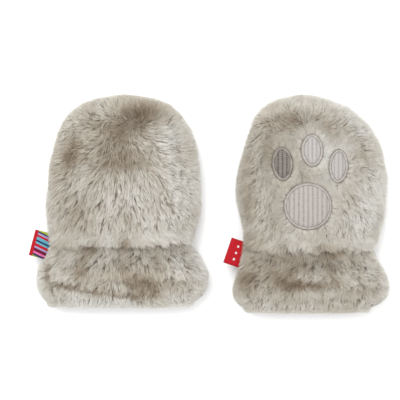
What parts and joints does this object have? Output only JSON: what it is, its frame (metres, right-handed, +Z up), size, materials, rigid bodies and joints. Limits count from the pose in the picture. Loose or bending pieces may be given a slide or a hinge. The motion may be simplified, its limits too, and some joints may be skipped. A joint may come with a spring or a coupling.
{
  "type": "pair of baby mittens",
  "caption": "Pair of plush baby mittens laid flat, with gathered wrists, deep cuffs open at the hem, folded side labels and an embroidered paw on one palm.",
  "frame": {"origin": "on the surface the mittens lie on, under the middle of the pair's bounding box", "axes": "+Z up, +Y towards the fingertips, +X from the left mitten to the right one"},
  "size_m": [0.2164, 0.132, 0.0306],
  "materials": {
    "fur_upper": "matt",
    "fur_lower": "matt",
    "fur_cuff": "matt",
    "thread_pale": "satin",
    "thread_dark": "satin",
    "ribbon_striped": "satin",
    "ribbon_red": "satin"
  },
  "bodies": {
    "root": {"left_back_panel": "fur_upper", "left_palm_panel": "fur_lower", "left_cuff_back": "fur_cuff", "left_cuff_palm": "fur_lower", "left_label": "ribbon_striped", "right_palm_panel": "fur_upper", "right_back_panel": "fur_lower", "right_cuff_palm": "fur_cuff", "right_cuff_back": "fur_lower", "right_label": "ribbon_red", "right_pad_heel": "thread_pale", "right_pad_toe_1": "thread_dark", "right_pad_toe_2": "thread_pale", "right_pad_toe_3": "thread_pale"}
  },
  "joints": []
}
